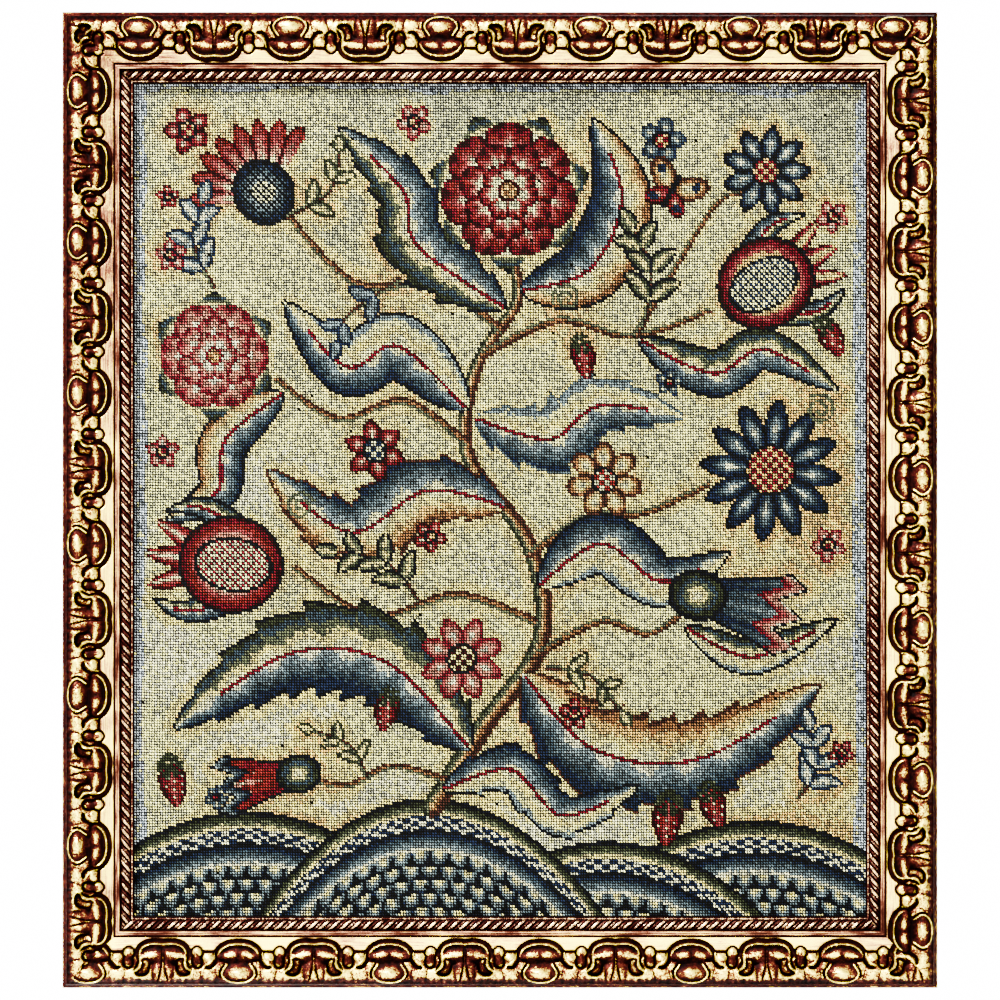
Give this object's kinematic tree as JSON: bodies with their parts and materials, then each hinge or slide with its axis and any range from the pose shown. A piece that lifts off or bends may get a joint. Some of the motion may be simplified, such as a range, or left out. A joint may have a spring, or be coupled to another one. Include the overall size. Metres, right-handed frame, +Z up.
{
  "type": "framed needlework picture",
  "caption": "Tent-stitch needlework panel stretched flat behind the sight edge of a mitred gilded picture moulding, for hanging upright on a wall.",
  "frame": {"origin": "middle of the top rail's back face, the face that lies against the wall", "axes": "+Z up, +Y towards the wall, +X to the right as the picture is looked at"},
  "size_m": [0.606, 0.034, 0.676],
  "materials": {
    "gilded_moulding": "wood moulding with pressed ornament, gilded over dark red bole, rubbed on the high places and glazed dark in the hollows",
    "worked_wool": "crewel wool in tent stitch over linen canvas, matt, olive cream ground with coloured flowers and leaves",
    "softwood": "plain sawn pine, darkened with age"
  },
  "bodies": {
    "root": {"rail_top": "gilded_moulding", "rail_bottom": "gilded_moulding", "rail_left": "gilded_moulding", "rail_right": "gilded_moulding", "needlework": "worked_wool", "strainer_top": "softwood", "strainer_bottom": "softwood", "strainer_left": "softwood", "strainer_right": "softwood"}
  },
  "joints": []
}
